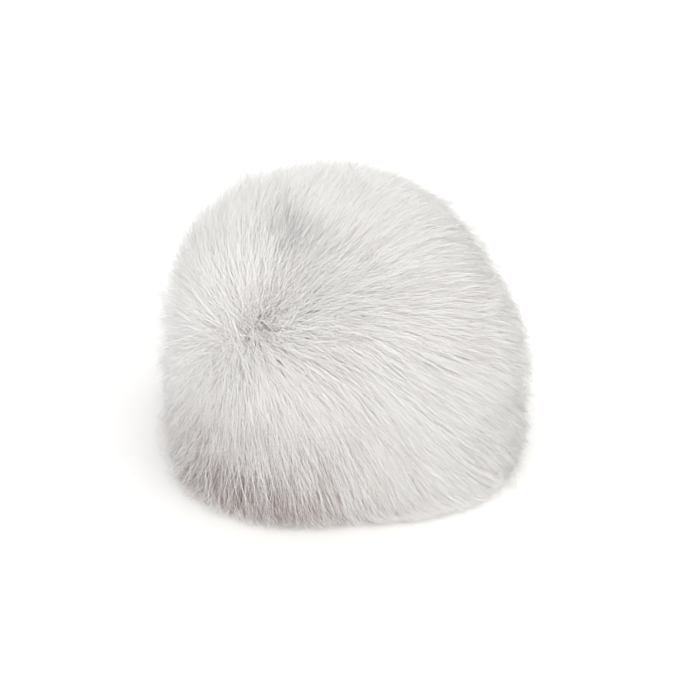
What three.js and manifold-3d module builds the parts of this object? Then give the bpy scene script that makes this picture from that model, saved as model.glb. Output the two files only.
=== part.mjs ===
// A furry windscreen for a small microphone: a removable cover of long-pile fabric over a moulded basket.
// The basket stands on a flat base plate. The microphone goes up through a rubber bush in the base into a
// foam sleeve, and a ring under the base turns to squeeze the bush.
// Millimetres, +Z up. The origin is the middle of the base's flat underside.
import * as THREE from "three";
import { mergeVertices } from "three/addons/utils/BufferGeometryUtils.js";
import Module from "manifold-3d";

const wasm = await Module();
wasm.setup();

// Driving dimensions.
const GAP = 0.4; // clearance between separate pieces
const COVER = { halfX: 65, halfY: 59, top: 106, widest: 30, foot: -50, plan: 2.5, rise: 2.1, fall: 3.2 };
const COVER_BOTTOM = 1; // the pile's lowest tips
const CAGE = { halfX: 45, halfY: 39, top: 85, widest: 0, foot: -85, plan: 2.8, rise: 2.3, fall: 2.3 };
const CAGE_WALL = 3.2;
const SPLIT = 34; // the height at which the cage comes apart
const COVER_CLEARANCE = 1.3; // between the cage and the inside of the cover
const TOP_SEAM = { halfX: 36, halfY: 31, z: 68, apex: 21 }; // where the top panel meets the side panels
const HEM = { bottom: 1.2, top: 9.8, wall: 3.4, grooveDepth: 2, grooveEdge: 1.4, elastic: 1.2 };
const BASE = { thickness: 7, ringRecess: 24, ringDepth: 3.2, flangeRecess: 18.8, flangeDepth: 5.7 };
const COLLAR = { inner: 15, outer: 18, top: 16 };
const BUSH = { bore: 10.5, lipDepth: 0.8, outer: 14.6, flange: 18.4, bottom: 3.5, flangeTop: 5.4, top: 22 };
const RING = { inner: 12, outer: 23.6, bottom: 1.2, top: 2.9 };
const LUG = { count: 8, length: 7, width: 2.4, radius: 18, bottom: 0.4 }; // the clamp ring's finger lugs
const STOP = { outer: 26.6, width: 16, travel: 60, play: 1 }; // its stop tab: radius, and degrees
const FOAM = { outer: 24.5, bore: 11.2, boreTop: 56, top: 64, edge: 6 };
const MESH_THICKNESS = 0.8;
const WINDOW_REACH = { inwards: 27, outwards: 5 }; // from the cage's outline
const WINDOW_ROWS = [
  { bottom: 11, top: 26, count: 16, width: 12.5 },
  { bottom: 41.5, top: 55, count: 16, width: 11.5 },
  { bottom: 58.5, top: 69.5, count: 12, width: 10 },
];
const CROWN = { slots: 5, pitch: 9, width: 5.5, length: 34, depth: 30 };
const CLIP = { width: 13, height: 8, plate: 1, sunk: 0.2, pocket: 1.5 };
const PEG = { width: 5, height: 1.6, offset: 2.4, reach: 2.2, hole: 5.2 }; // the clips' two pegs
const SCREW = { x: 27, y: 22.5, head: 2.8, headBottom: 0.6, headTop: 2.5, shank: 1.25, top: 14.5 };
const SCREW_SLOT = { length: 3.2, width: 0.7, depth: 0.9 };
const BOSS = { radius: 4, top: 17, flange: 2, hole: 1.7, holeTop: 15.5 };
const SEAM_GAP = 0.7; // between the top panel and the side panels
const ROUND = 24; // sides of a round piece
const SMALL_ROUND = { head: 20, shank: 12 };
const HARD_FACETS = { around: 36, rows: 14 }; // round the cage's form, and from pole to pole
const SOFT_FACETS = { around: 24, rows: 12 }; // and the same for the cover's
const FAR = 200;

// Materials, one per kind of stuff.
const finish = (color, roughness, metalness = 0) => ({ color, roughness, metalness });
const PILE = finish(0xf3f0ee, 0.95);
const TAPE = finish(0xd9d6d2, 0.9);
const ELASTIC = finish(0xe8e6e2, 0.85);
const CAGE_PLASTIC = finish(0x2c2d30, 0.55);
const BASE_PLASTIC = finish(0x232427, 0.5);
const RING_PLASTIC = finish(0x53565b, 0.45);
const RUBBER = finish(0x17181a, 0.8);
const ACOUSTIC_MESH = finish(0x3a3b3e, 0.9);
const FOAM_STUFF = finish(0x3b3c40, 0.98);
const STEEL = finish(0x9fa3a8, 0.35, 1);

const windscreen = new THREE.Group();

function addPiece(name, geometry, look) {
  const mesh = new THREE.Mesh(geometry, new THREE.MeshStandardMaterial(look));
  mesh.name = name;
  windscreen.add(mesh);
}

// Booleans: a closed geometry becomes a solid, and a solid becomes a geometry again.
function solid(geometry) {
  const bare = geometry.clone();
  bare.deleteAttribute("normal");
  bare.deleteAttribute("uv");
  const merged = mergeVertices(bare);
  const vertProperties = Float32Array.from(merged.attributes.position.array);
  const triVerts = Uint32Array.from(merged.index.array);
  return new wasm.Manifold(new wasm.Mesh({ numProp: 3, vertProperties, triVerts }));
}

function asGeometry(shape) {
  const { vertProperties, triVerts } = shape.getMesh();
  const geometry = new THREE.BufferGeometry();
  geometry.setAttribute("position", new THREE.BufferAttribute(vertProperties, 3));
  geometry.setIndex(new THREE.BufferAttribute(triVerts, 1));
  geometry.computeVertexNormals();
  return geometry;
}

const without = (shape, cutters) => cutters.reduce((left, cutter) => left.subtract(cutter), shape);
const joined = (shapes) => shapes.reduce((all, shape) => all.add(shape));

// Building forms.
const signedPower = (value, power) => Math.sign(value) * Math.abs(value) ** power;

function ovalPoint(halfX, halfY, angle) {
  const power = 2 / CAGE.plan;
  return new THREE.Vector2(
    halfX * signedPower(Math.cos(angle), power),
    halfY * signedPower(Math.sin(angle), power),
  );
}

function ovalPoints(halfX, halfY) {
  const count = HARD_FACETS.around;
  return Array.from({ length: count }, (_, i) => ovalPoint(halfX, halfY, (i / count) * 2 * Math.PI));
}

// A prism between two heights over an outline.
function prism(points, bottom, top) {
  const geometry = new THREE.ExtrudeGeometry(new THREE.Shape(points), {
    depth: top - bottom,
    bevelEnabled: false,
  });
  return solid(geometry.translate(0, 0, bottom));
}

const ovalPrism = (halfX, halfY, bottom, top) => prism(ovalPoints(halfX, halfY), bottom, top);

function block(sizeX, sizeY, sizeZ, x, y, z) {
  return solid(new THREE.BoxGeometry(sizeX, sizeY, sizeZ).translate(x, y, z));
}

function disc(radius, bottom, top, x = 0, y = 0, sides = ROUND) {
  const cylinder = new THREE.CylinderGeometry(radius, radius, top - bottom, sides);
  return solid(cylinder.rotateX(Math.PI / 2).translate(x, y, (top + bottom) / 2));
}

// A soft box: a sphere pushed out to a superellipsoid that is widest at one height and closes at its top
// and its foot. The plan power squares the outline seen from above, and the rise and fall powers square
// the shoulders above and below the widest height.
function softBox({ halfX, halfY, top, widest, foot, plan, rise, fall }, { around, rows }) {
  const sphere = new THREE.SphereGeometry(1, around, rows).rotateX(Math.PI / 2);
  const position = sphere.attributes.position;
  for (let i = 0; i < position.count; i += 1) {
    const [x, y, z] = [position.getX(i), position.getY(i), position.getZ(i)];
    const power = z > 0 ? rise : fall;
    const height = z > 0 ? top - widest : widest - foot;
    const across = (Math.abs(x) ** plan + Math.abs(y) ** plan) ** (1 / plan);
    const reach = (across ** power + Math.abs(z) ** power) ** (1 / power);
    position.setXYZ(i, (halfX * x) / reach, (halfY * y) / reach, widest + (height * z) / reach);
  }
  return solid(sphere);
}

// The cage's outer form moved in (negative) or out by an offset.
function cageForm(offset) {
  const moved = {
    halfX: CAGE.halfX + offset,
    halfY: CAGE.halfY + offset,
    top: CAGE.top + offset,
    foot: CAGE.foot - offset,
  };
  return softBox({ ...CAGE, ...moved }, HARD_FACETS);
}

const slab = (bottom, top) => block(FAR, FAR, top - bottom, 0, 0, (top + bottom) / 2);

// A closed lathe form from [radius, height] pairs round the Z axis.
function turned(profile, sides = ROUND) {
  const points = profile.map(([radius, height]) => new THREE.Vector2(radius, height));
  return solid(new THREE.LatheGeometry([...points, points[0]], sides).rotateX(Math.PI / 2));
}

// Evenly spaced places round the cage, each with its outward direction.
function cageStations(count) {
  const steps = 1440;
  const walk = Array.from({ length: steps + 1 }, (_, i) =>
    ovalPoint(CAGE.halfX, CAGE.halfY, (i / steps) * 2 * Math.PI));
  const lengths = [0];
  for (let i = 1; i <= steps; i += 1) {
    lengths.push(lengths[i - 1] + walk[i].distanceTo(walk[i - 1]));
  }
  return Array.from({ length: count }, (_, k) => {
    const target = ((k + 0.5) / count) * lengths[steps];
    const i = lengths.findIndex((length) => length >= target);
    const along = walk[i].clone().sub(walk[i - 1]);
    return { x: walk[i].x, y: walk[i].y, angle: Math.atan2(-along.x, along.y) };
  });
}

// Cutters for one row of windows, each running inwards through the wall.
function windowRow({ bottom, top, count, width }) {
  const { inwards, outwards } = WINDOW_REACH;
  return cageStations(count).map(({ x, y, angle }) => {
    const cutter = new THREE.BoxGeometry(inwards + outwards, width, top - bottom);
    cutter.translate((outwards - inwards) / 2, 0, 0).rotateZ(angle);
    return solid(cutter.translate(x, y, (bottom + top) / 2));
  });
}

function crownSlots() {
  return Array.from({ length: CROWN.slots }, (_, i) => {
    const x = (i - (CROWN.slots - 1) / 2) * CROWN.pitch;
    return block(CROWN.width, CROWN.length, CROWN.depth, x, 0, CAGE.top);
  });
}

// The waist clips, one in the middle of each side, as far out as the cage is at their upper edge.
const clipTop = SPLIT + CLIP.height / 2;
const clipShrink = (1 - (clipTop / CAGE.top) ** CAGE.rise) ** (1 / CAGE.rise);
const CLIP_PLACES = [
  { name: "front", reach: CAGE.halfY * clipShrink, turn: Math.PI },
  { name: "back", reach: CAGE.halfY * clipShrink, turn: 0 },
  { name: "left", reach: CAGE.halfX * clipShrink, turn: Math.PI / 2 },
  { name: "right", reach: CAGE.halfX * clipShrink, turn: -Math.PI / 2 },
];

// A block given in a clip's own frame: across, outwards from the cage's surface, and up from the split.
function clipBlock({ reach, turn }, across, from, to, height, up) {
  const geometry = new THREE.BoxGeometry(across, to - from, height);
  geometry.translate(0, reach + (from + to) / 2, SPLIT + up).rotateZ(turn);
  return solid(geometry);
}

function clipPockets(place) {
  const clear = 2 * GAP;
  const plate = clipBlock(place, CLIP.width + clear, -CLIP.pocket, CAGE_WALL, CLIP.height + clear, 0);
  const pegs = [-1, 1].map((side) => clipBlock(
    place, PEG.width + clear, -PEG.hole, 0, PEG.height + clear, side * PEG.offset));
  return [plate, ...pegs];
}

function clip(place) {
  const inside = -CLIP.sunk - CLIP.plate;
  const plate = clipBlock(place, CLIP.width, inside, -CLIP.sunk, CLIP.height, 0);
  const pegs = [-1, 1].map((side) => clipBlock(
    place, PEG.width, -PEG.reach, inside + CLIP.plate / 2, PEG.height, side * PEG.offset));
  return joined([plate, ...pegs]);
}

const SCREW_PLACES = [[1, 1], [-1, 1], [-1, -1], [1, -1]].map(([sx, sy]) => [sx * SCREW.x, sy * SCREW.y]);

// The cage: two open shells that meet at the waist. The lower one stands on the base plate.
const wallForm = cageForm(0).subtract(cageForm(-CAGE_WALL));
const pockets = CLIP_PLACES.flatMap(clipPockets);
const windowsBelow = WINDOW_ROWS.filter(({ top }) => top < SPLIT).flatMap(windowRow);
const windowsAbove = WINDOW_ROWS.filter(({ bottom }) => bottom > SPLIT).flatMap(windowRow);

function lowerCage() {
  const foot = BASE.thickness + GAP;
  const wall = wallForm.intersect(slab(foot, SPLIT - GAP / 2));
  const flange = ovalPrism(CAGE.halfX - 1, CAGE.halfY - 1, foot, foot + BOSS.flange)
    .subtract(disc(FOAM.outer + 2 * GAP, 0, FAR));
  const bosses = SCREW_PLACES.map(([x, y]) => disc(BOSS.radius, foot, BOSS.top, x, y, SMALL_ROUND.head));
  const holes = SCREW_PLACES.map(([x, y]) => disc(BOSS.hole, 0, BOSS.holeTop, x, y, SMALL_ROUND.shank));
  const openWall = without(wall, [...windowsBelow, ...pockets]);
  return without(joined([openWall, flange, ...bosses]), holes);
}

function upperCage() {
  const wall = wallForm.intersect(slab(SPLIT + GAP / 2, FAR));
  return without(wall, [...windowsAbove, ...crownSlots(), ...pockets]);
}

addPiece("cage_lower", asGeometry(lowerCage()), CAGE_PLASTIC);
addPiece("cage_upper", asGeometry(upperCage()), CAGE_PLASTIC);
for (const place of CLIP_PLACES) {
  addPiece(`waist_clip_${place.name}`, asGeometry(clip(place)), RING_PLASTIC);
}

// The acoustic mesh that lines both halves.
const meshOutside = -CAGE_WALL - GAP;
const meshForm = cageForm(meshOutside).subtract(cageForm(meshOutside - MESH_THICKNESS));
const meshFoot = BASE.thickness + BOSS.flange + 2 * GAP;
const lowerMesh = meshForm.intersect(slab(meshFoot, SPLIT - GAP / 2));
const upperMesh = meshForm.intersect(slab(SPLIT + GAP / 2, FAR));
addPiece("mesh_lower", asGeometry(lowerMesh), ACOUSTIC_MESH);
addPiece("mesh_upper", asGeometry(upperMesh), ACOUSTIC_MESH);

// The base plate, with its collar, the recess for the clamp ring and the slot for the ring's stop tab.
function sector(radius, fromDegrees, toDegrees, bottom, top) {
  const steps = 12;
  const arc = Array.from({ length: steps + 1 }, (_, i) => {
    const angle = THREE.MathUtils.degToRad(fromDegrees + ((toDegrees - fromDegrees) * i) / steps);
    return new THREE.Vector2(radius * Math.cos(angle), radius * Math.sin(angle));
  });
  return prism([new THREE.Vector2(0, 0), ...arc], bottom, top);
}

function basePlate() {
  const plate = ovalPrism(CAGE.halfX, CAGE.halfY, 0, BASE.thickness);
  const collar = disc(COLLAR.outer, BASE.thickness / 2, COLLAR.top);
  const slotEnd = STOP.travel + STOP.width + STOP.play;
  return without(plate.add(collar), [
    disc(COLLAR.inner, -1, FAR),
    disc(BASE.ringRecess, -1, BASE.ringDepth),
    disc(BASE.flangeRecess, -1, BASE.flangeDepth),
    sector(STOP.outer + GAP, -STOP.play, slotEnd, -1, BASE.ringDepth),
    ...SCREW_PLACES.map(([x, y]) => disc(SCREW.head + GAP, -1, SCREW.headTop + GAP, x, y, SMALL_ROUND.head)),
    ...SCREW_PLACES.map(([x, y]) => disc(BOSS.hole, -1, FAR, x, y, SMALL_ROUND.shank)),
  ]);
}

addPiece("base_plate", asGeometry(basePlate()), BASE_PLASTIC);

// The clamp ring: finger lugs underneath, and a stop tab that runs in the base's slot.
function clampRing() {
  const ring = disc(RING.outer, RING.bottom, RING.top);
  const tab = sector(STOP.outer, 0, STOP.width, RING.bottom, RING.top);
  const lugTop = (RING.bottom + RING.top) / 2;
  const lugs = Array.from({ length: LUG.count }, (_, i) => {
    const lug = new THREE.BoxGeometry(LUG.length, LUG.width, lugTop - LUG.bottom);
    lug.translate(LUG.radius, 0, (lugTop + LUG.bottom) / 2);
    return solid(lug.rotateZ((i / LUG.count) * 2 * Math.PI));
  });
  return joined([ring, tab, ...lugs]).subtract(disc(RING.inner, -1, FAR));
}

addPiece("clamp_ring", asGeometry(clampRing()), RING_PLASTIC);

// The rubber bush: a flange that the ring presses, and two soft lips in the bore.
function bush() {
  const lips = 2;
  const pitch = (BUSH.top - BUSH.bottom) / lips;
  const bore = Array.from({ length: lips }, (_, i) => {
    const bottom = BUSH.bottom + i * pitch;
    return [
      [BUSH.bore, bottom], [BUSH.bore, bottom + pitch * 0.35],
      [BUSH.bore + BUSH.lipDepth, bottom + pitch * 0.5], [BUSH.bore + BUSH.lipDepth, bottom + pitch * 0.85],
    ];
  }).flat();
  return turned([
    [BUSH.flange, BUSH.bottom],
    [BUSH.flange, BUSH.flangeTop],
    [BUSH.outer, BUSH.flangeTop],
    [BUSH.outer, BUSH.top],
    [BUSH.bore, BUSH.top],
    ...bore.reverse(),
  ]);
}

addPiece("mic_bush", asGeometry(bush()), RUBBER);

// The foam sleeve: it stands on the base plate round the collar and is closed on top.
const foamFoot = BASE.thickness + GAP;
addPiece("foam_sleeve", asGeometry(turned([
  [COLLAR.outer + GAP, foamFoot],
  [FOAM.outer, foamFoot],
  [FOAM.outer, FOAM.top - FOAM.edge],
  [FOAM.outer - FOAM.edge * 0.3, FOAM.top - FOAM.edge * 0.3],
  [FOAM.outer - FOAM.edge, FOAM.top],
  [0, FOAM.top],
  [0, FOAM.boreTop],
  [FOAM.bore, FOAM.boreTop],
  [FOAM.bore, BUSH.top + GAP],
  [BUSH.outer + GAP, BUSH.top + GAP],
  [BUSH.outer + GAP, COLLAR.top + GAP],
  [COLLAR.outer + GAP, COLLAR.top + GAP],
])), FOAM_STUFF);

// The screws that hold the lower cage to the base, heads down in their counterbores.
function screw([x, y]) {
  const head = disc(SCREW.head, SCREW.headBottom, SCREW.headTop, x, y, SMALL_ROUND.head);
  const middle = (SCREW.headBottom + SCREW.headTop) / 2;
  const shank = disc(SCREW.shank, middle, SCREW.top, x, y, SMALL_ROUND.shank);
  const { length, width, depth } = SCREW_SLOT;
  const slots = [[length, width], [width, length]].map(([sizeX, sizeY]) =>
    block(sizeX, sizeY, 2 * depth, x, y, SCREW.headBottom));
  return without(head.add(shank), slots);
}

SCREW_PLACES.forEach((place, i) => addPiece(`base_screw_${i + 1}`, asGeometry(screw(place)), STEEL));

// The fur cover: a thick soft shell over the cage, cut into a top panel and four side panels.
const lining = cageForm(COVER_CLEARANCE).intersect(slab(0, FAR))
  .add(ovalPrism(CAGE.halfX + COVER_CLEARANCE, CAGE.halfY + COVER_CLEARANCE, -5, 0.5));
const hemOutside = COVER_CLEARANCE + HEM.wall;
const hemSpace = ovalPrism(
  CAGE.halfX + hemOutside + GAP, CAGE.halfY + hemOutside + GAP, -5, HEM.top + GAP);
const pile = softBox(COVER, SOFT_FACETS).intersect(slab(COVER_BOTTOM, FAR));
const cover = without(pile, [lining, hemSpace]);

// A downward pyramid whose faces hold the seam round the top panel.
function topPyramid(drop) {
  const rise = FAR - TOP_SEAM.apex;
  const scale = rise / (TOP_SEAM.z - TOP_SEAM.apex);
  const cone = new THREE.ConeGeometry(Math.SQRT2, rise, 4).rotateY(Math.PI / 4).rotateX(-Math.PI / 2);
  cone.scale(TOP_SEAM.halfX * scale, TOP_SEAM.halfY * scale, 1);
  return solid(cone.translate(0, 0, TOP_SEAM.apex + rise / 2 - drop));
}

// A wedge that holds one side panel, between the two corner seams.
function sideWedge(directionX, directionY) {
  const [x, y] = [TOP_SEAM.halfX * 4, TOP_SEAM.halfY * 4];
  const ends = directionX === 0
    ? [[x, directionY * y], [-x, directionY * y]]
    : [[directionX * x, y], [directionX * x, -y]];
  const points = [[0, 0], ...ends].map(([px, py]) => new THREE.Vector2(
    px + directionX * GAP, py + directionY * GAP));
  return prism(THREE.ShapeUtils.isClockWise(points) ? points.reverse() : points, -5, FAR);
}

const sides = cover.subtract(topPyramid(SEAM_GAP));
addPiece("fur_panel_top", asGeometry(cover.intersect(topPyramid(0))), PILE);
addPiece("fur_panel_front", asGeometry(sides.intersect(sideWedge(0, -1))), PILE);
addPiece("fur_panel_back", asGeometry(sides.intersect(sideWedge(0, 1))), PILE);
addPiece("fur_panel_left", asGeometry(sides.intersect(sideWedge(-1, 0))), PILE);
addPiece("fur_panel_right", asGeometry(sides.intersect(sideWedge(1, 0))), PILE);

// The hem: a sewn band round the opening, with a flat elastic in its groove.
function hemRing(from, to, bottom, top) {
  return ovalPrism(CAGE.halfX + to, CAGE.halfY + to, bottom, top)
    .subtract(ovalPrism(CAGE.halfX + from, CAGE.halfY + from, -5, FAR));
}

const grooveBottom = HEM.bottom + HEM.grooveEdge;
const grooveTop = HEM.top - HEM.grooveEdge;
const groove = hemRing(0, COVER_CLEARANCE + HEM.grooveDepth, grooveBottom, grooveTop);
const band = hemRing(COVER_CLEARANCE, hemOutside, HEM.bottom, HEM.top).subtract(groove);
const elasticFrom = COVER_CLEARANCE + HEM.grooveDepth - GAP - HEM.elastic;
const elastic = hemRing(elasticFrom, elasticFrom + HEM.elastic, grooveBottom + GAP, grooveTop - GAP);
addPiece("hem_band", asGeometry(band), TAPE);
addPiece("hem_elastic", asGeometry(elastic), ELASTIC);

export default windscreen;
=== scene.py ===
"""A furry windscreen for a small microphone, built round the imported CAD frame.

The cover's five cut panels are knitted backing sheets that carry a white pile, strand by strand. The pile
fans out from a whorl at the corner where the front, left and top panels meet. Under the cover stand the
moulded basket, its acoustic mesh, the foam sleeve, the rubber bush and the clamp ring. Lengths are in metres.
"""
import math

import bmesh
import bpy
import numpy as np
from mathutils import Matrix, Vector, noise
from mathutils.kdtree import KDTree


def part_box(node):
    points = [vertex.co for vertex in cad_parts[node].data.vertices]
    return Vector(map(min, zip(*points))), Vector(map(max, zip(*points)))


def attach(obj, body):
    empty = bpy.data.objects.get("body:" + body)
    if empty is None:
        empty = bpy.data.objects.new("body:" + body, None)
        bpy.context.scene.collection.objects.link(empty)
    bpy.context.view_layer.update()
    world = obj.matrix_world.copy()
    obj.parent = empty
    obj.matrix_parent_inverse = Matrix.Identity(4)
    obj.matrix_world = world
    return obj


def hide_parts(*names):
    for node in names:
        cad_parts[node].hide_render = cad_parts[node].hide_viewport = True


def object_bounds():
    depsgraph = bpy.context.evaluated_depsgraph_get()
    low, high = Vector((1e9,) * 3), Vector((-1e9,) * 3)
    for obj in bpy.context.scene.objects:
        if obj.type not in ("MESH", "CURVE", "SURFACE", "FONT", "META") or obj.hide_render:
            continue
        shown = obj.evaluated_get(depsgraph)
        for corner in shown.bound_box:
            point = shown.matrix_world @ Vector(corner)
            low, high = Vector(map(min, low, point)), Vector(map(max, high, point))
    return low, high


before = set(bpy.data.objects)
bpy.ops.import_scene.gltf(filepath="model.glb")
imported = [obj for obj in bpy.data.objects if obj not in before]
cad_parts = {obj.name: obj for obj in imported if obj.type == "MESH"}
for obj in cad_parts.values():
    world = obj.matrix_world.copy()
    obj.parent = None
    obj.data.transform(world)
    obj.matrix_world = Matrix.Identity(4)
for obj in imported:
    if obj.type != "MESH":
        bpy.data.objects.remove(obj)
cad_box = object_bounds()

MM = 0.001
RANDOM = np.random.default_rng(11)

# ---------------------------------------------------------------- places, from the frame

CAGE_HALF_X, CAGE_HALF_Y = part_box("base_plate")[1][0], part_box("base_plate")[1][1]
CAGE_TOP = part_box("cage_upper")[1][2]
HEM_LOW, HEM_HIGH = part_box("hem_band")
PILE_HIGH = cad_box[1]
COVER = "fur_cover"

BACKING_CLEAR = 1.5 * MM  # from the cage to the inside of the backing
BACKING_THICK = 0.9 * MM
FLOOR_CLEAR = 0.6 * MM  # the pile stays this far above the floor
SEAM_APEX = 21 * MM  # the top panel's seam lies in an upside-down pyramid, with its apex here on the axis
SEAM_X, SEAM_Y, SEAM_Z = 36 * MM, 31 * MM, 68 * MM  # and its sides this far out at this height

# ---------------------------------------------------------------- soft box forms


class SoftBox:
    """A superellipsoid that is widest at one height, and closes at its top and its foot. The plan power
    squares its outline from above, and the rise and fall powers its shoulders above and below."""

    def __init__(self, half_x, half_y, top, widest, foot, plan, rise, fall):
        self.half = np.array([half_x, half_y, top - widest])
        self.centre = np.array([0.0, 0.0, widest])
        self.lower = (top - widest) / (widest - foot)
        self.plan, self.rise, self.fall = plan, rise, fall

    def level(self, points):
        """1 on the surface, less inside, and proportional to the distance from the centre."""
        q = np.abs((points - self.centre) / self.half) + 1e-9
        below = points[..., 2] < self.centre[2]
        q[..., 2] *= np.where(below, self.lower, 1)
        power = np.where(below, self.fall, self.rise)
        across = (q[..., 0] ** self.plan + q[..., 1] ** self.plan) ** (1 / self.plan)
        return (across**power + q[..., 2] ** power) ** (1 / power)

    def onto(self, points):
        return self.centre + (points - self.centre) / self.level(points)[..., None]

    def normal(self, points):
        """Which way is out, on the part above the widest height."""
        signed = (points - self.centre) / self.half
        q = np.abs(signed) + 1e-9
        across = (q[..., 0] ** self.plan + q[..., 1] ** self.plan) ** (1 / self.plan)
        side = across ** (self.rise - self.plan)
        grad = np.stack(
            [
                side * q[..., 0] ** (self.plan - 1),
                side * q[..., 1] ** (self.plan - 1),
                q[..., 2] ** (self.rise - 1),
            ],
            axis=-1,
        )
        return unit(grad * np.sign(signed) / self.half)

    def scatter(self, count):
        """Points spread evenly over the upper half, by area."""
        found = []
        have = 0
        while have < count:
            ray = unit(RANDOM.normal(size=(count * 2, 3)))
            ray[:, 2] = np.abs(ray[:, 2])
            points = self.onto(self.centre + ray)
            distance = np.linalg.norm(points - self.centre, axis=1)
            facing = np.clip((self.normal(points) * ray).sum(1), 0.2, 1)
            area_seen = distance**2 / facing  # by a ray, over its share of all directions
            keep = RANDOM.random(len(ray)) * (self.half.max() * 1.5) ** 2 < area_seen
            found.append(points[keep])
            have += int(keep.sum())
        return np.concatenate(found)[:count]


def unit(v):
    return v / np.maximum(np.linalg.norm(v, axis=-1, keepdims=True), 1e-12)


def smooth(edge0, edge1, x):
    t = np.clip((x - edge0) / (edge1 - edge0), 0, 1)
    return t * t * (3 - 2 * t)


backing_out = BACKING_CLEAR + BACKING_THICK
SKIN = SoftBox(  # the outside of the backing, where the pile has its roots
    CAGE_HALF_X + backing_out, CAGE_HALF_Y + backing_out, CAGE_TOP + backing_out, widest=0, foot=-80 * MM,
    plan=2.8, rise=2.3, fall=2.3,
)
TIPS = SoftBox(*PILE_HIGH, widest=30 * MM, foot=-50 * MM, plan=2.5, rise=2.2, fall=3.2)
HEM_FLARE = HEM_HIGH[0] - SKIN.half[0] + 0.4 * MM + BACKING_THICK  # takes the backing outside the hem band

# ---------------------------------------------------------------- materials


def principled(name, colour, roughness, **sockets):
    material = bpy.data.materials.new(name)
    material.use_nodes = True
    shader = material.node_tree.nodes["Principled BSDF"]
    shader.inputs["Base Color"].default_value = (*colour, 1)
    shader.inputs["Roughness"].default_value = roughness
    for socket, value in sockets.items():
        shader.inputs[socket.replace("_", " ")].default_value = value
    return material


BROAD_GRAIN = 14 * MM  # the size of the slow changes of shade over every finish
FINE_SHARE, BROAD_SHARE = 0.6, 0.5  # what the pattern and the slow changes add to the mix of the two shades
SHADES_AT = (0.3, 0.7)  # where in the mix the first and the second shade are reached
RELIEF = 0.7
FINISHES = {
    # two shades, the roughness in each, the pattern, and its grain and height in millimetres
    "knit": ([(0.80, 0.77, 0.74), (0.93, 0.91, 0.89)], (0.85, 0.95), "weave", 0.8, 0.15),
    "tape": ([(0.60, 0.57, 0.54), (0.80, 0.78, 0.75)], (0.8, 0.95), "weave", 0.55, 0.12),
    "thread": ([(0.78, 0.75, 0.70), (0.90, 0.88, 0.84)], (0.6, 0.8), "grain", 0.3, 0.05),
    "elastic": ([(0.70, 0.69, 0.66), (0.88, 0.87, 0.85)], (0.6, 0.8), "weave", 0.9, 0.2),
    "foam": ([(0.035, 0.036, 0.04), (0.012, 0.012, 0.014)], (0.9, 1), "pores", 0.9, 0.5),
    "rubber": ([(0.012, 0.012, 0.013), (0.022, 0.022, 0.024)], (0.55, 0.75), "grain", 0.4, 0.03),
    "moulded": ([(0.022, 0.023, 0.026), (0.034, 0.035, 0.039)], (0.42, 0.6), "grain", 0.5, 0.03),
    "base": ([(0.016, 0.017, 0.019), (0.026, 0.027, 0.03)], (0.38, 0.55), "grain", 0.6, 0.03),
    "clip": ([(0.06, 0.062, 0.066), (0.09, 0.092, 0.098)], (0.35, 0.5), "grain", 0.5, 0.02),
    "ring": ([(0.07, 0.075, 0.082), (0.11, 0.115, 0.125)], (0.35, 0.5), "grain", 0.5, 0.02),
    "woven": ([(0.075, 0.077, 0.082), (0.015, 0.015, 0.017)], (0.6, 0.9), "weave", 0.7, 0.25),
    "steel": ([(0.42, 0.43, 0.45), (0.60, 0.61, 0.63)], (0.22, 0.42), "grain", 0.25, 0.01),
}


def finish(name, **sockets):
    """A finish whose colour runs between two shades. Its height follows the pattern: "weave" is even rows of
    crossings, "pores" is open cells and "grain" is fine moulded or cast grain."""
    shades, roughness, pattern, grain, height = FINISHES[name]
    material = principled(name, shades[1], roughness[1], **sockets)
    nodes, links = material.node_tree.nodes, material.node_tree.links
    shader = nodes["Principled BSDF"]
    coordinates = nodes.new("ShaderNodeTexCoord").outputs["Object"]
    fine = nodes.new("ShaderNodeTexNoise" if pattern == "grain" else "ShaderNodeTexVoronoi")
    fine.inputs["Scale"].default_value = 1 / (grain * MM)
    if pattern == "weave":
        fine.distance = "CHEBYCHEV"
        fine.inputs["Randomness"].default_value = 0
    broad = nodes.new("ShaderNodeTexNoise")
    broad.inputs["Scale"].default_value = 1 / BROAD_GRAIN
    for texture in (fine, broad):
        links.new(coordinates, texture.inputs["Vector"])
    slow = nodes.new("ShaderNodeMath")
    slow.operation = "MULTIPLY"
    slow.inputs[1].default_value = BROAD_SHARE
    links.new(broad.outputs[0], slow.inputs[0])
    mix = nodes.new("ShaderNodeMath")
    mix.operation = "MULTIPLY_ADD"
    mix.inputs[1].default_value = FINE_SHARE
    links.new(fine.outputs[0], mix.inputs[0])
    links.new(slow.outputs[0], mix.inputs[2])
    ramp = nodes.new("ShaderNodeValToRGB")
    for element, position, shade in zip(ramp.color_ramp.elements, SHADES_AT, shades):
        element.position = position
        element.color = (*shade, 1)
    links.new(mix.outputs[0], ramp.inputs["Fac"])
    links.new(ramp.outputs["Color"], shader.inputs["Base Color"])
    rough = nodes.new("ShaderNodeMapRange")
    rough.inputs["To Min"].default_value, rough.inputs["To Max"].default_value = roughness
    links.new(mix.outputs[0], rough.inputs["Value"])
    links.new(rough.outputs["Result"], shader.inputs["Roughness"])
    relief = nodes.new("ShaderNodeBump")
    relief.inputs["Strength"].default_value = RELIEF
    relief.inputs["Distance"].default_value = height * MM
    links.new(fine.outputs[0], relief.inputs["Height"])
    links.new(relief.outputs["Normal"], shader.inputs["Normal"])
    return material


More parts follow.
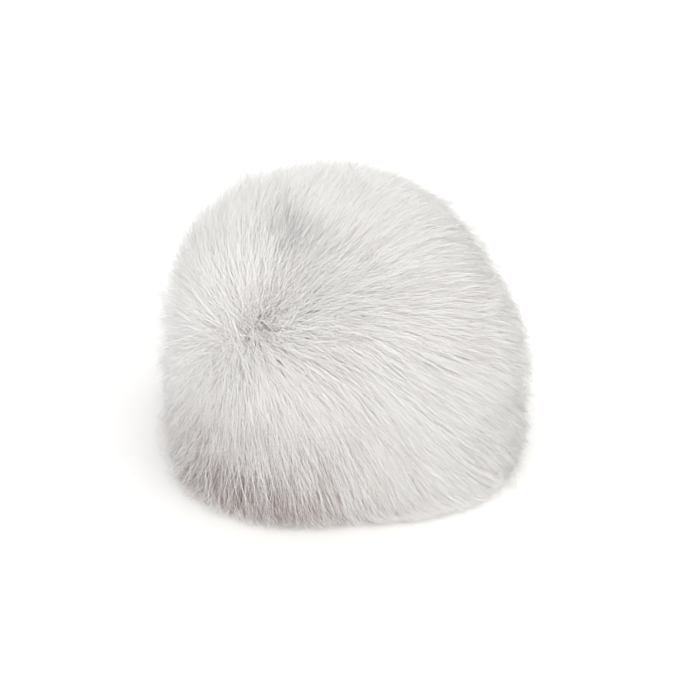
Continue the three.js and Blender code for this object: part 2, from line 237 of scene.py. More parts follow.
PILE_TONES = {
    # the colour at the root, in the middle and at the tip; where the root is darker than the tip, that is
    # painted shade down among the strands
    "warm": [(0.95, 0.925, 0.905), (0.972, 0.96, 0.948), (0.98, 0.974, 0.966)],
    "bright": [(0.96, 0.945, 0.93), (0.978, 0.97, 0.963), (0.984, 0.98, 0.976)],
    # the cool tone: a random tone everywhere, and painted shade on the left side
    "cool_and_shade": [(0.93, 0.90, 0.91), (0.962, 0.945, 0.952), (0.968, 0.957, 0.962)],
    "outer": [(0.93, 0.915, 0.90), (0.90, 0.88, 0.865), (0.85, 0.825, 0.81)],
    # painted shade, for the strands at the shaded corner of the foot
    "shaded": [(0.24, 0.155, 0.145), (0.34, 0.235, 0.225), (0.50, 0.39, 0.38)],
}
WARM, BRIGHT, COOL_AND_SHADE, OUTER, PAINTED_SHADE_TONE = range(len(PILE_TONES))


def pile_materials():
    """Three materials along every strand's length, in each of its tones."""
    made = []
    for tone, shades in PILE_TONES.items():
        for zone, colour in zip(("root", "middle", "tip"), shades):
            made.append(principled(
                f"pile_{tone}_{zone}", colour, 0.7, Specular_IOR_Level=0.25,
                Sheen_Weight=0.4, Sheen_Roughness=0.5, Diffuse_Roughness=1,
            ))
    return made


# ---------------------------------------------------------------- the pile

THINNING = 1
STRANDS = 132000 // THINNING
WISPS = 15000 // THINNING  # strands in loose points that stand clear of the rest
GUARD_HAIRS = 900 // THINNING  # longer, thicker strands that lie over the rest
STRANDS_PER_PIECE = 7500
STEPS = 4  # along a strand
STRAND_RADIUS = 0.075 * MM
REACH = 25 * MM  # how far a strand runs along the surface
REACH_ON_FLOOR = 9 * MM  # and how far beyond its own height, near the floor
LOFT_MOST = 60 * MM  # no tip is further than this from the backing

# The pile lies away from a short parting, which shows as a whorl.
PARTING_LEFT = np.array([-43.0, -19.0, 55.0]) * MM
PARTING_RIGHT = np.array([-34.0, -25.0, 60.0]) * MM
UPRIGHT = 5 * MM  # nearer the parting than this, the pile stands up more and more
STRAY = 5 * MM  # how far out of place a strand may see the parting
PULL = 0.45  # how strongly the pile hangs on the sides
PULL_GROWS = 40 * MM  # to its full strength, over this distance from the parting
PULL_FADES = (48 * MM, 78 * MM)  # between these heights, so that the top isn't pulled
LEAN = 8 * MM  # how far the pile on top has been brushed to the left
TAPER = 0.05  # and how much it is pressed together

# It stands open, and is sewn closer, on the slope from the whorl to the top; its strands there all take the
# bright tone, as painted light that lifts the shade in the open pile.
WHORL_TOP = np.array([-17.0, 0.0, 84.0]) * MM
WHORL_SPREAD = 15 * MM
CLOSER = 4  # at the whorl there are this many extra roots to one elsewhere

# It is thin at one corner of the foot, and its strands there are painted dark: painted shade.
SHADED = np.array([-50.0, -44.0, 3.0]) * MM
SHADED_SPREAD = 27 * MM
SHADED_STRETCH = np.array([1.2, 1.0, 0.75])  # it runs along the hem
HANGS_OUT = np.array([1.25, 1.25, 1])  # from its roots, the pile there hangs outwards by this factor
HANGS_DOWN = np.array([0, 0, 9 * MM])  # and down by this much
PAINTED_SHADE_UNDER, PAINTED_SHADE_FULL = 2.2, 1.5  # the share of strands painted dark as shade, in underfur and in other pile there; 1 is all

# Some of it is underfur, which is shorter and untidier: a share everywhere, and more in those two places.
UNDER_SHARE, UNDER_SHADED, UNDER_OPEN = 0.22, 0.4, 0.3
# Levels of the tips' form that strands end at, as low and high limits.
UNDER_LEVELS, FULL_LEVELS, WISP_LEVELS, GUARD_LEVELS = (0.83, 0.93), (0.94, 1.04), (1.0, 1.08), (1.0, 1.05)
UNDER_LIFT = 0.03  # what the underfur gains at the whorl
SWELLS, SWELL_LENGTHS, SWELL_HEIGHT = 9, (16, 44), 0.025  # broad waves over the pile; lengths in millimetres
SWING, SWING_UNDER, SWING_FULL = 0.16, 0.9, 0.2  # out of line everywhere, and more at the whorl, in radians
WAVER = 0.8 * MM
TUFTS = [
    # how many, how strongly they pull, how much more so in shaded pile, how late along a strand, and swing
    (170, 0.12, 0.25, 1.4, 0.25),
    (2200, 0.1, 0.4, 1.7, 0.4),
]
WISP_TUFTS, WISP_PULL = 1100, 0.85
WISP_OUTER = 0.65  # the share of them that end in a duller tip
COOL_LEAST, LEFT_PAINTED_SHADE = 0.05, 0.85  # the share of cool strands, and what it gains from right to left as painted shade on the left side
LEFT_SHADE_FROM, LEFT_SHADE_TO = -5 * MM, -50 * MM


def flow(points, normals, stray):
    """Which way the pile lies: away from the parting, and down under its weight. Each strand sees the
    parting a little out of place, so that its two sides mingle."""
    along = PARTING_RIGHT - PARTING_LEFT
    seen = points + stray
    share = np.clip(((seen - PARTING_LEFT) @ along) / (along @ along), 0, 1)
    away = seen - (PARTING_LEFT + share[:, None] * along)
    distance = np.linalg.norm(away, axis=1, keepdims=True)
    pull = PULL * smooth(0, PULL_GROWS, distance) * (1 - smooth(*PULL_FADES, points[:, 2:]))
    lie = unit(away) * smooth(0, UPRIGHT, distance) + pull * np.array([0.0, 0.0, -1.0])
    lie -= (lie * normals).sum(1, keepdims=True) * normals
    size = np.linalg.norm(lie, axis=1, keepdims=True)
    return lie / np.maximum(size, 0.5)


def turned(vectors, axes, angles):
    c, s = np.cos(angles)[:, None], np.sin(angles)[:, None]
    return vectors * c + np.cross(axes, vectors) * s


def upright(points):
    """Takes the lean and the taper out of a point, to compare it with the upright form of the tips."""
    share = smooth(TIPS.centre[2], PILE_HIGH[2], points[..., 2])
    moved = points.copy()
    moved[..., 0] += LEAN * share
    moved[..., :2] /= (1 - TAPER * share)[..., None]
    return moved


def unevenness(roots):
    """Broad swells and hollows in the pile, mostly between -1.5 and 1.5."""
    total = np.zeros(len(roots))
    for _ in range(SWELLS):
        turn = unit(RANDOM.normal(size=3)) * 2 * math.pi / (RANDOM.uniform(*SWELL_LENGTHS) * MM)
        total += np.sin(roots @ turn + RANDOM.uniform(0, 2 * math.pi))
    return total / math.sqrt(SWELLS)


def shadedness(roots):
    """1 where the pile that hangs from these roots is thin and painted dark as shade, and less away from
    there.
    """
    away = (roots * HANGS_OUT - HANGS_DOWN - SHADED) / SHADED_STRETCH
    return np.exp(-(away**2).sum(1) / SHADED_SPREAD**2)


def loft_to(points, normals, target):
    """How far along its normal each point is from the given level of the tips' form."""
    low, high = np.zeros(len(points)), np.full(len(points), LOFT_MOST)
    halvings = 14
    for _ in range(halvings):
        middle = (low + high) / 2
        inside = TIPS.level(upright(points + normals * middle[:, None])) < target
        low, high = np.where(inside, middle, low), np.where(inside, high, middle)
    return low


def paths(roots, swing, reach, target, rise_power):
    """Each strand's centre line, STEPS + 1 points from root to tip."""
    along = [roots]
    stray = RANDOM.normal(0, STRAY, roots.shape)
    for _ in range(STEPS):
        here = along[-1]
        normals = SKIN.normal(here)
        lie = turned(flow(here, normals, stray), normals, swing)
        along.append(SKIN.onto(here + lie * (reach / STEPS)[:, None]))
    along = np.stack(along, 1)
    end_normal = SKIN.normal(along[:, -1])
    height = loft_to(along[:, -1], end_normal, target)
    s = np.linspace(0, 1, STEPS + 1)
    rise = 1 - (1 - s[None, :]) ** rise_power[:, None]
    normals = SKIN.normal(along)
    return along + normals * (height[:, None] * rise)[..., None]


def rest_on_floor(points):
    """Strands that would pass through the floor bend and lie on it instead."""
    z = points[..., 2] - FLOOR_CLEAR
    soft = 7 * MM
    points[..., 2] = FLOOR_CLEAR + np.where(z > soft, z, soft * np.exp((z - soft) / soft))
    return points


def flare_at_hem(points, fade):
    """Roots near the opening sit outside the hem band, so they start further out."""
    amount = HEM_FLARE * (1 - smooth(HEM_HIGH[2], HEM_HIGH[2] + 6 * MM, points[:, :1, 2]))
    outward = points - SKIN.centre
    outward[..., 2] = 0
    return points + unit(outward) * (amount * fade)[..., None]


def nearest(centres, points):
    tree = KDTree(len(centres))
    for i, centre in enumerate(centres):
        tree.insert(centre, i)
    tree.balance()
    return np.array([tree.find(p)[1] for p in points])


def lay(roots, reach, target, rise_power, swing, waver):
    """Strands from the given roots, each a little out of line with its neighbours."""
    count = len(roots)
    reach = np.minimum(reach, roots[:, 2] + REACH_ON_FLOOR)
    strands = paths(roots, RANDOM.normal(0, swing, count), reach, target, rise_power)
    s = np.linspace(0, 1, STEPS + 1)
    return strands + RANDOM.normal(0, waver, (count, 1, 3)) * (s**1.2)[None, :, None]


def gather(strands, roots, count, strength, power, swing, levels=FULL_LEVELS, reaches=(0.85, 1.15)):
    """Pulls the strands together into tufts, each with its own lean, reach and fullness."""
    centres = SKIN.scatter(count)
    reach = REACH * RANDOM.uniform(*reaches, count)
    leaders = lay(centres, reach, RANDOM.uniform(*levels, count), np.full(count, 1.15), swing, 0)
    mine = nearest(centres, roots)
    pull = np.minimum(strength * RANDOM.uniform(0.4, 1.4, count)[mine], 0.95)
    s = np.linspace(0, 1, STEPS + 1) ** power
    return strands + (leaders[mine] - strands) * (pull[:, None] * s)[..., None]


def near_whorl(roots):
    """1 at the whorl and on the slope above it, where the pile stands open, and less away from them."""
    slope = WHORL_TOP - PARTING_LEFT
    share = np.clip(((roots - PARTING_LEFT) @ slope) / (slope @ slope), 0, 1)
    away = roots - (PARTING_LEFT + share[:, None] * slope)
    return np.exp(-(away**2).sum(1) / WHORL_SPREAD**2)


def scatter_roots(count):
    """Even over the skin, but closer where the pile stands open."""
    tries = 4 * count
    roots = SKIN.scatter(tries)
    return roots[RANDOM.random(len(roots)) < (1 + CLOSER * near_whorl(roots)) / (1 + CLOSER)][:count]


def grow_pile():
    roots = scatter_roots(STRANDS)
    count = len(roots)
    open_here, shaded_here = near_whorl(roots), shadedness(roots)
    under = RANDOM.random(count) < UNDER_SHARE + UNDER_SHADED * shaded_here + UNDER_OPEN * open_here
    short = RANDOM.uniform(*UNDER_LEVELS, count) + UNDER_LIFT * open_here
    full = RANDOM.uniform(*FULL_LEVELS, count)
    target = np.where(under, short, full)
    target *= 1 + SWELL_HEIGHT * np.maximum(unevenness(roots), -0.5)
    reach = REACH * np.where(under, RANDOM.uniform(0.4, 0.8, count), RANDOM.uniform(0.8, 1.2, count))
    reach *= 1 - open_here * RANDOM.uniform(0, 0.7, count)  # at the whorl the pile stands more upright
    swing = SWING + open_here * np.where(under, SWING_UNDER, SWING_FULL)
    strands = lay(roots, reach, target, RANDOM.uniform(0.95, 1.45, count), swing, WAVER)
    for tufts, pull, shaded_pull, power, tuft_swing in TUFTS:
        strands = gather(strands, roots, tufts, pull + shaded_pull * shaded_here, power, tuft_swing)
    # strands at the shaded corner of the foot are painted dark: painted shade
    painted_shade = RANDOM.random(count) < shaded_here * np.where(under, PAINTED_SHADE_UNDER, PAINTED_SHADE_FULL)
    return strands, roots, painted_shade


def grow_wisps():
    roots = SKIN.scatter(WISPS)
    reach = REACH * RANDOM.uniform(0.7, 1.2, WISPS)
    target, rise_power = RANDOM.uniform(*WISP_LEVELS, WISPS), RANDOM.uniform(0.8, 1.1, WISPS)
    strands = lay(roots, reach, target, rise_power, 0.3, MM)
    pull = np.full(WISPS, WISP_PULL)
    return gather(strands, roots, WISP_TUFTS, pull, 1.3, 0.35, (1.0, 1.1), (0.45, 0.9)), roots


def grow_guard_hairs():
    """Most of them hang over the shaded part of the pile."""
    tries = GUARD_HAIRS * 12
    roots = SKIN.scatter(tries)
    over = shadedness(roots - np.array([0, 0, 14 * MM]))
    roots = roots[RANDOM.random(len(roots)) < 0.03 + 0.8 * over][:GUARD_HAIRS]
    count = len(roots)
    reach = REACH * RANDOM.uniform(1.0, 1.5, count)
    target, rise_power = RANDOM.uniform(*GUARD_LEVELS, count), RANDOM.uniform(1.2, 1.6, count)
    return lay(roots, reach, target, rise_power, 0.2, 1.3 * MM), roots


def strand_arrays(lines, radius):
    """Corners of a three-sided closed tube round every centre line, ending in a point."""
    count = len(lines)
    along = unit(np.gradient(lines, axis=1))
    helper = np.where(np.abs(along[..., 2:3]) < 0.9, [[[0.0, 0.0, 1.0]]], [[[1.0, 0.0, 0.0]]])
    side = unit(np.cross(along, helper))
    other = np.cross(along, side)
    s = np.linspace(0, 1, STEPS + 1)[:-1]
    fullness = (0.75 + 0.5 * np.sin(np.pi * s * 0.8))[None, :]  # thinner at the root than in the middle
    width = radius[:, None] * fullness * (1 - s**3)[None, :]
    rings = []
    for k in range(3):
        angle = 2 * math.pi * k / 3
        offset = side[:, :-1] * math.cos(angle) + other[:, :-1] * math.sin(angle)
        rings.append(lines[:, :-1] + offset * width[..., None])
    ring_points = np.stack(rings, 2).reshape(count, STEPS * 3, 3)
    return np.concatenate([ring_points, lines[:, -1:]], 1)


def strand_faces():
    """One strand's faces as vertex lists, with the zone each face belongs to."""
    faces, zones = [[2, 1, 0]], [0]
    for ring in range(STEPS - 1):
        for k in range(3):
            a, b = ring * 3 + k, ring * 3 + (k + 1) % 3
            faces.append([a, b, b + 3, a + 3])
            zones.append(min(ring, 2))
    last = (STEPS - 1) * 3
    for k in range(3):
        faces.append([last + k, last + (k + 1) % 3, last + 3])
        zones.append(2)
    return faces, zones


def pile_object(name, lines, radius, tones, materials):
    points = strand_arrays(lines, radius)
    count, corners = points.shape[:2]
    faces, zones = strand_faces()
    loops = np.concatenate([np.array(f) for f in faces])
    starts = np.cumsum([0] + [len(f) for f in faces[:-1]])
    base = np.arange(count)[:, None]
    mesh = bpy.data.meshes.new(name)
    mesh.vertices.add(count * corners)
    mesh.vertices.foreach_set("co", points.astype(np.float32).ravel())
    mesh.loops.add(count * len(loops))
    mesh.loops.foreach_set("vertex_index", (base * corners + loops).astype(np.int32).ravel())
    mesh.polygons.add(count * len(faces))
    mesh.polygons.foreach_set("loop_start", (base * len(loops) + starts).astype(np.int32).ravel())
    for material in materials:
        mesh.materials.append(material)
    slots = tones[:, None] * 3 + np.array(zones)[None, :]
    mesh.polygons.foreach_set("material_index", slots.astype(np.int32).ravel())
    mesh.polygons.foreach_set("use_smooth", np.ones(count * len(faces), bool))
    mesh.update(calc_edges=True)
    piece = bpy.data.objects.new(name, mesh)
    bpy.context.collection.objects.link(piece)
    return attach(piece, COVER)


def panel_of(roots):
    """The number, in the order of PANELS, of the panel that each root is sewn into."""
    x, y, z = np.abs(roots[:, 0]) / SEAM_X, np.abs(roots[:, 1]) / SEAM_Y, roots[:, 2]
    slope = SEAM_Z - SEAM_APEX
    top = z - SEAM_APEX > slope * np.maximum(x, y)
    front_back = np.where(roots[:, 1] < 0, 1, 2)
    left_right = np.where(roots[:, 0] < 0, 3, 4)
    return np.where(top, 0, np.where(y > x, front_back, left_right))


PANELS = ["top", "front", "back", "left", "right"]


def tones_of(roots, kinds, painted_shade):
    """Each strand's tone. The kinds are the numbers of strands, wisps and guard hairs, which come in turn."""
    count = len(roots)
    # at the whorl and on the slope above it every strand takes the bright tone, with no cool or duller-tipped
    # ones: painted light that lifts the shade in the open pile there
    closed = 1 - near_whorl(roots)
    # strands further left more often take the cool tone: painted shade on the left side
    left_painted_shade = smooth(LEFT_SHADE_FROM, LEFT_SHADE_TO, roots[:, 0])
    cool_and_shade = RANDOM.random(count) < (COOL_LEAST + LEFT_PAINTED_SHADE * left_painted_shade) * closed
    tones = np.where(RANDOM.random(count) < 0.5 * closed, WARM, BRIGHT)
    tones[cool_and_shade] = COOL_AND_SHADE
    strands, wisps, guards = kinds
    # the dark tone on those strands is painted shade
    tones[:strands][painted_shade] = PAINTED_SHADE_TONE
    outer = np.arange(strands, strands + wisps)
    tones[outer[RANDOM.random(wisps) < WISP_OUTER * closed[outer]]] = OUTER
    tones[-guards:] = BRIGHT
    return tones


def make_pile():
    materials = pile_materials()
    strands, roots, painted_shade = grow_pile()
    wisps, wisp_roots = grow_wisps()
    guards, guard_roots = grow_guard_hairs()
    kinds = [len(strands), len(wisps), len(guards)]
    lines = np.concatenate([strands, wisps, guards])
    roots = np.concatenate([roots, wisp_roots, guard_roots])
    s = np.linspace(0, 1, STEPS + 1)
    lines = rest_on_floor(flare_at_hem(lines, (1 - s)[None, :]))
    radius = np.repeat([STRAND_RADIUS, 0.8 * STRAND_RADIUS, 1.25 * STRAND_RADIUS], kinds)
    radius = radius * RANDOM.uniform(0.7, 1.2, len(lines))
    tones = tones_of(roots, kinds, painted_shade)
    panels = panel_of(roots)
    pieces = {}
    for number, panel in enumerate(PANELS):
        mine = np.flatnonzero(panels == number)
        parts = np.array_split(mine, max(1, math.ceil(len(mine) / STRANDS_PER_PIECE)))
        pieces[panel] = [
            pile_object(f"pile_{panel}_{i + 1}", lines[part], radius[part], tones[part], materials)
            for i, part in enumerate(parts)
        ]
    return pieces


pile = make_pile()

# ---------------------------------------------------------------- the panels' knitted backing


def plan_point(direction_x, direction_y, form):
    """Where this direction meets the form's outline from above."""
    size = (abs(direction_x / form.half[0]) ** form.plan + abs(direction_y / form.half[1]) ** form.plan)
    size = size ** (1 / form.plan)
    return direction_x / size, direction_y / size


def seam_shrink(px, py, form):
    """How far in, from 1 at the base, the form is where the top seam crosses this direction."""
    low, high = 0.0, 1.0
    halvings = 30
    for _ in range(halvings):
        shrink = (low + high) / 2
        z = form.half[2] * (1 - shrink**form.rise) ** (1 / form.rise)
        seam = SEAM_APEX + (SEAM_Z - SEAM_APEX) * max(abs(px) * shrink / SEAM_X, abs(py) * shrink / SEAM_Y)
        low, high = (shrink, high) if z > seam else (low, shrink)
    return low


SHEET_EDGE = 0.999  # a sheet ends just before its seams, so that neighbours don't overlap
SEAM_GAP = 0.1 * MM
SIDE_FACES = {"front": (0, -1), "back": (0, 1), "left": (-1, 0), "right": (1, 0)}


def backing_sheet(panel, form, across=24, up=22):
    """A grid of points over one panel's cloth."""
    rows = []
    for j in range(up + 1):
        row = []
        for i in range(across + 1):
            u, v = (2 * i / across - 1) * SHEET_EDGE, (2 * j / up - 1) * SHEET_EDGE
            if panel == "top":
                size = max(abs(u), abs(v))
                lean = (u / size, v / size) if size > 0 else (1, 0)
                px, py = plan_point(lean[0] * SEAM_X, lean[1] * SEAM_Y, form)
                shrink = size * seam_shrink(px, py, form)
                z = form.half[2] * (1 - shrink**form.rise) ** (1 / form.rise)
            else:
                fx, fy = SIDE_FACES[panel]
                px, py = plan_point((fx if fx else u * -fy) * SEAM_X, (fy if fy else u * fx) * SEAM_Y, form)
                shrink_top = seam_shrink(px, py, form)
                z_top = form.half[2] * (1 - shrink_top**form.rise) ** (1 / form.rise) - SEAM_GAP
                z = HEM_LOW[2] + (z_top - HEM_LOW[2]) * j / up
                shrink = (1 - (z / form.half[2]) ** form.rise) ** (1 / form.rise)
            row.append((px * shrink, py * shrink, z))
        rows.append(row)
    return np.array(rows)


def sheet_between(name, inner, outer):
    """A closed thin sheet between two matching grids of points."""
    rows, columns = inner.shape[:2]
    index = np.arange(rows * columns).reshape(rows, columns)
    shift = rows * columns
    faces = []
    for j in range(rows - 1):
        for i in range(columns - 1):
            a, b, c, d = index[j, i], index[j, i + 1], index[j + 1, i + 1], index[j + 1, i]
            faces.append((a + shift, b + shift, c + shift, d + shift))
            faces.append((d, c, b, a))
    rim = [*index[0, :], *index[1:, -1], *index[-1, -2::-1], *index[-2:0:-1, 0]]
    for a, b in zip(rim, rim[1:] + rim[:1]):
        faces.append((a, b, b + shift, a + shift))
    points = np.concatenate([inner.reshape(-1, 3), outer.reshape(-1, 3)])
    mesh = bpy.data.meshes.new(name)
    mesh.from_pydata(points.tolist(), [], [tuple(int(k) for k in face) for face in faces])
    mesh.update()
    piece = bpy.data.objects.new(name, mesh)
    bpy.context.collection.objects.link(piece)
    mesh.polygons.foreach_set("use_smooth", [True] * len(mesh.polygons))
    return piece


def with_flare(grid):
    """The sheet's foot, moved out to lie outside the hem band."""
    amount = HEM_FLARE * (1 - smooth(HEM_HIGH[2] + 1 * MM, HEM_HIGH[2] + 7 * MM, grid[..., 2]))
    outward = grid.copy()
    outward[..., 2] = 0
    return grid + unit(outward) * amount[..., None]


def make_backing(panel, material):
    grid = with_flare(backing_sheet(panel, SKIN))
    inner = grid - SKIN.normal(grid) * BACKING_THICK
    piece = sheet_between(f"backing_{panel}", inner, grid)
    piece.data.materials.append(material)
    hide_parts(f"fur_panel_{panel}")
    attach(piece, COVER)


# ---------------------------------------------------------------- the hem and the foam

HEM_IN, HEM_OUT = 1.3 * MM, HEM_HIGH[0] - CAGE_HALF_X  # from the cage's outline to the band's two faces
HEM_LIP = 1.4 * MM  # the band's edges above and below its groove
HEM_ROUND = 0.5 * MM
GROOVE = 2 * MM  # how deep the band's groove for the elastic is
TAPE_RIPPLES, TAPE_DRAWN = 56, 0.15 * MM
ELASTIC_THICK = 1.2 * MM
ELASTIC_RIBS, RIB_DIP = 5, 0.18 * MM
ELASTIC_RIPPLES, ELASTIC_DRAWN = 72, 0.12 * MM
STITCHES = 92
STITCH_HALF = 0.36  # half its length, in the spaces that the stitches have along their row
STITCH_RINGS, STITCH_SIDES = 5, 6
THREAD = 0.26 * MM
UPWARDS = np.array([0, 0, 1])
TURNED_STEP = 1.2 * MM
SHARP = math.radians(50)  # corners that turn more than this stay sharp
FOAM_LUMPS, FOAM_UNEVEN = 9 * MM, 0.3 * MM


def closed_piece(name, points, faces, material, body):
    mesh = bpy.data.meshes.new(name)
    mesh.from_pydata([tuple(map(float, p)) for p in points], [], faces)
    form = bmesh.new()
    form.from_mesh(mesh)
    bmesh.ops.recalc_face_normals(form, faces=form.faces)
    form.to_mesh(mesh)
    form.free()
    mesh.polygons.foreach_set("use_smooth", [True] * len(mesh.polygons))
    mesh.set_sharp_from_angle(angle=SHARP)
    mesh.materials.append(material)
    piece = bpy.data.objects.new(name, mesh)
    bpy.context.collection.objects.link(piece)
    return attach(piece, body)


def outline(angle, out):
    """The cage's outline at its foot, moved outwards."""
    c, s = math.cos(angle), math.sin(angle)
    half_x, half_y = CAGE_HALF_X + out, CAGE_HALF_Y + out
    size = (abs(c / half_x) ** SKIN.plan + abs(s / half_y) ** SKIN.plan) ** (1 / SKIN.plan)
    return c / size, s / size


def swept(name, section, ripples, depth, material):
    """A closed ring along the cage's outline. The section's corners are (outwards, up), and the ripples draw
    it inwards."""
    points_a_ripple = 6
    around = points_a_ripple * ripples
    points, faces = [], []
    for i in range(around):
        angle = 2 * math.pi * i / around
        drawn = depth * (0.5 + 0.5 * math.cos(ripples * angle))
        for out, up in section:
            points.append((*outline(angle, out - drawn), up))
    n = len(section)
    for i in range(around):
        a, b = i * n, ((i + 1) % around) * n
        faces += [(a + j, a + (j + 1) % n, b + (j + 1) % n, b + j) for j in range(n)]
    return closed_piece(name, points, faces, material, COVER)


def rounded(corners, radius, steps=4):
    """The corners of a section, each cut back and rounded by a short curve."""
    corners = np.array(corners)
    done = []
    for before, here, after in zip(np.roll(corners, 1, 0), corners, np.roll(corners, -1, 0)):
        start, end = here + unit(before - here) * radius, here + unit(after - here) * radius
        for t in np.linspace(0, 1, steps):
            done.append((1 - t) ** 2 * start + 2 * t * (1 - t) * here + t**2 * end)
    return done


def stitch_points(middle, out, up, into_tape):
    """A short tube along the outline, slimmer at its ends and sunk into the tape there."""
    half = STITCH_HALF * 2 * math.pi / STITCHES
    points = []
    for t in np.linspace(-1, 1, STITCH_RINGS):
        x, y = outline(middle + half * t, out)
        radial = unit(np.array([x, y, 0]))
        girth = THREAD * math.sqrt(max(1 - 0.85 * t**4, 0.1))
        sunk = 0.45 * THREAD * t**2
        centre = np.array([x, y, up]) + sunk * (radial if into_tape == "outwards" else UPWARDS)
        for k in range(STITCH_SIDES):
            turn = 2 * math.pi * k / STITCH_SIDES
            points.append(centre + girth * (radial * math.cos(turn) + UPWARDS * math.sin(turn)))
    return points


def stitch_faces(first):
    """One stitch's faces, when its points start at this number."""
    n = STITCH_SIDES
    last = first + (STITCH_RINGS - 1) * n
    faces = [tuple(range(first, first + n)), tuple(range(last, last + n))]
    for ring in range(first, last, n):
        faces += [(ring + k, ring + (k + 1) % n, ring + n + (k + 1) % n, ring + n + k) for k in range(n)]
    return faces


def make_stitches():
    """Two rows of thread: one under the band, and one round the inside of its upper lip."""
    under_band = ((HEM_IN + HEM_OUT) / 2, HEM_LOW[2], "upwards")
    inside_lip = (HEM_IN, HEM_HIGH[2] - HEM_LIP / 2, "outwards")
    points, faces = [], []
    for row in (under_band, inside_lip):
        for k in range(STITCHES):
            faces += stitch_faces(len(points))
            points += stitch_points(2 * math.pi * (k + 0.5) / STITCHES, *row)
    return closed_piece("hem_stitches", points, faces, finish("thread"), COVER)


def make_hem():
    low, high = HEM_LOW[2], HEM_HIGH[2]
    band = rounded([
        (HEM_IN, low), (HEM_OUT, low), (HEM_OUT, high), (HEM_IN, high), (HEM_IN, high - HEM_LIP),
        (HEM_IN + GROOVE, high - HEM_LIP), (HEM_IN + GROOVE, low + HEM_LIP), (HEM_IN, low + HEM_LIP),
    ], HEM_ROUND)
    (_, _, bottom), (outer, _, top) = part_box("hem_elastic")
    outer -= CAGE_HALF_X
    inner = outer - ELASTIC_THICK
    points_a_rib = 4
    steps = points_a_rib * ELASTIC_RIBS
    face = []
    for i in range(steps + 1):
        dip = RIB_DIP * (0.5 + 0.5 * math.cos(2 * math.pi * i / points_a_rib))
        face.append((inner + dip, top - (top - bottom) * i / steps))
    strip = face + [(outer, bottom), (outer, top)]
    pieces = [
        swept("hem_tape", band, TAPE_RIPPLES, TAPE_DRAWN, finish("tape")),
        swept("hem_elastic_ribbed", strip, ELASTIC_RIPPLES, ELASTIC_DRAWN, finish("elastic")),
        make_stitches(),
    ]
    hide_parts("hem_band")
    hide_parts("hem_elastic")
    return pieces


def turned_piece(name, profile, around, material):
    """A closed, slightly uneven piece, turned round the upright axis. Its profile starts and ends there."""
    fine = []
    for (r0, z0), (r1, z1) in zip(profile, profile[1:]):
        steps = max(1, round(math.hypot(r1 - r0, z1 - z0) / TURNED_STEP))
        fine += [(r0 + (r1 - r0) * k / steps, z0 + (z1 - z0) * k / steps) for k in range(steps)]
    fine.append(profile[-1])
    points, rings, faces = [], [], []
    for r, z in fine:
        on_axis = r < 1e-6
        ring = []
        for k in range(1 if on_axis else around):
            angle = 2 * math.pi * k / around
            c, s = math.cos(angle), math.sin(angle)
            drawn = FOAM_UNEVEN * (0.5 + 0.5 * noise.noise(Vector((r * c, r * s, z)) / FOAM_LUMPS))
            ring.append(len(points))
            points.append((0, 0, z) if on_axis else ((r - drawn) * c, (r - drawn) * s, z))
        rings.append(ring)
    for a, b in zip(rings, rings[1:]):
        for k in range(around):
            n = (k + 1) % around
            corners = [a[k % len(a)], a[n % len(a)], b[n % len(b)], b[k % len(b)]]
            faces.append(tuple(dict.fromkeys(corners)))
    return closed_piece(name, points, faces, material, "basket")


def make_foam():
    """A cap of foam. Its foot stands round the collar, then round the bush, and its bore takes the mic."""
    (_, _, foot), (outer, _, top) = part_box("foam_sleeve")
    edge, bevel, bore_bevel = 6 * MM, 0.6 * MM, 3 * MM
    collar_bore, collar_top = 18.4 * MM, 16.4 * MM
    bush_bore, bush_top = 15 * MM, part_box("mic_bush")[1][2] + 0.4 * MM
    bore, bore_top = 11.2 * MM, 56 * MM
    turn = [math.pi / 2 * k / 8 for k in range(9)]
    shoulder = [(outer - edge + edge * math.sin(t), top - edge + edge * math.cos(t)) for t in turn]
    profile = [
        (0, top), *shoulder, (outer, foot + bevel), (outer - bevel, foot),
        (collar_bore, foot), (collar_bore, collar_top), (bush_bore, collar_top), (bush_bore, bush_top),
        (bore, bush_top), (bore, bore_top - bore_bevel), (bore - bore_bevel, bore_top), (0, bore_top),
    ]
    sleeve = turned_piece("foam_sleeve_soft", profile, 96, finish("foam"))
    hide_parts("foam_sleeve")


hem_pieces = make_hem()
knit = finish("knit")
for panel in PANELS:
    make_backing(panel, knit)
make_foam()

# ---------------------------------------------------------------- finishes of the moulded pieces


def soften(mesh, angle):
    """Shades faces as one curved surface where they turn by less than the angle, and leaves corners sharp."""
    spots = [tuple(round(c * 1e6) for c in vertex.co) for vertex in mesh.vertices]
    meeting = {}
    for face in mesh.polygons:
        for corner in face.vertices:
            meeting.setdefault(spots[corner], []).append(face)
    normals = []
    for face in mesh.polygons:
        for corner in face.vertices:
            near = [f for f in meeting[spots[corner]] if f.normal.dot(face.normal) > math.cos(angle)]
            total = sum((f.normal * f.area for f in near), Vector())
            normals.append(total.normalized() if total.length else face.normal)
    mesh.polygons.foreach_set("use_smooth", [True] * len(mesh.polygons))
    mesh.normals_split_custom_set(normals)


CURVED = math.radians(32)


def paint(material, slot, *names):
    for name in names:
        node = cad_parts[name]
        node.data.materials.clear()
        node.data.materials.append(material)
        soften(node.data, CURVED)


paint(finish("moulded"), "cage_plastic", "cage_lower", "cage_upper")
paint(finish("clip"), "clip_plastic", *[f"waist_clip_{side}" for side in SIDE_FACES])
paint(finish("base"), "base_plastic", "base_plate")
paint(finish("ring"), "clip_plastic", "clamp_ring")
paint(finish("woven"), "acoustic_mesh", "mesh_lower", "mesh_upper")
paint(finish("rubber"), "bush_rubber", "mic_bush")
paint(finish("steel", Metallic=1), "screw_steel", *[f"base_screw_{i}" for i in range(1, 5)])

# ---------------------------------------------------------------- floor, light and camera


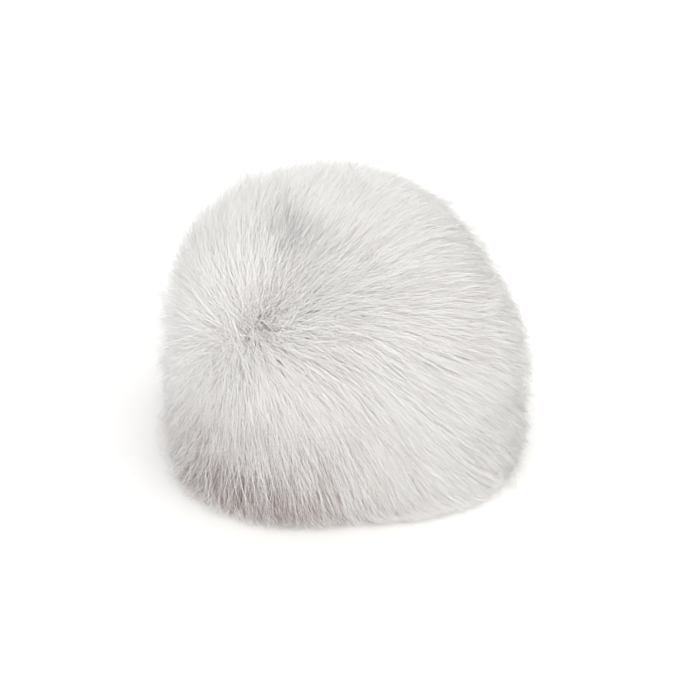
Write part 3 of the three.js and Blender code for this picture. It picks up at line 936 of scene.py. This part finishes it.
LIGHTS = {
    # where it comes from, its strength, its spread in degrees and its colour
    "key": ((0.2, -0.38, 0.83), 0.9, 50, (1, 0.98, 0.95)),
    "front": ((-0.08, -0.83, 0.5), 0.9, 25, (1, 0.99, 0.975)),
}
SKY, SKY_STRENGTH = (1, 0.995, 0.98, 1), 0.77
FLOOR_SIZE, FLOOR_DROP = 12, 0.4 * MM


def soft_sun(name, origin, strength, spread, colour):
    """Even light, soft like that of a large panel."""
    data = bpy.data.lights.new(name, "SUN")
    data.energy, data.angle, data.color = strength, math.radians(spread), colour
    lamp = bpy.data.objects.new(name, data)
    lamp.location = origin
    lamp.rotation_euler = Vector(origin).to_track_quat("Z", "Y").to_euler()
    bpy.context.collection.objects.link(lamp)


def make_stage():
    bpy.ops.mesh.primitive_plane_add(size=FLOOR_SIZE, location=(0, 0, -FLOOR_DROP))
    floor = bpy.context.object
    floor.name = "floor"
    floor.data.materials.append(principled("floor_white", (0.98, 0.98, 0.98), 0.9))
    world = bpy.data.worlds.new("studio")
    bpy.context.scene.world = world
    world.use_nodes = True
    background = world.node_tree.nodes["Background"]
    background.inputs["Color"].default_value = SKY
    background.inputs["Strength"].default_value = SKY_STRENGTH
    for name, settings in LIGHTS.items():
        soft_sun(name, *settings)
    bpy.context.scene.view_settings.view_transform = "Standard"
    bpy.context.scene.cycles.max_bounces = 20
    bpy.context.scene.cycles.diffuse_bounces = 16


CAMERA_AZIMUTH, CAMERA_ELEVATION = -8, 28
LENS, SENSOR = 85, 36
FRAME_WIDTH = 252 * MM  # what the picture spans at the object's distance
AIM_HEIGHT, AIM_RIGHT = 37.5 * MM, 2.4 * MM


def make_camera():
    a, e = math.radians(CAMERA_AZIMUTH), math.radians(CAMERA_ELEVATION)
    back = Vector((math.sin(a) * math.cos(e), -math.cos(a) * math.cos(e), math.sin(e)))  # towards the camera
    distance = FRAME_WIDTH * LENS / SENSOR
    aim = Vector((AIM_RIGHT * math.cos(a), AIM_RIGHT * math.sin(a), AIM_HEIGHT))
    camera = bpy.data.objects.new("camera", bpy.data.cameras.new("camera"))
    camera.data.lens, camera.data.sensor_width = LENS, SENSOR
    camera.location = aim + back * distance
    camera.rotation_euler = (-back).to_track_quat("-Z", "Y").to_euler()
    camera.data.clip_start = 0.01
    bpy.context.collection.objects.link(camera)
    bpy.context.scene.camera = camera


make_stage()
make_camera()
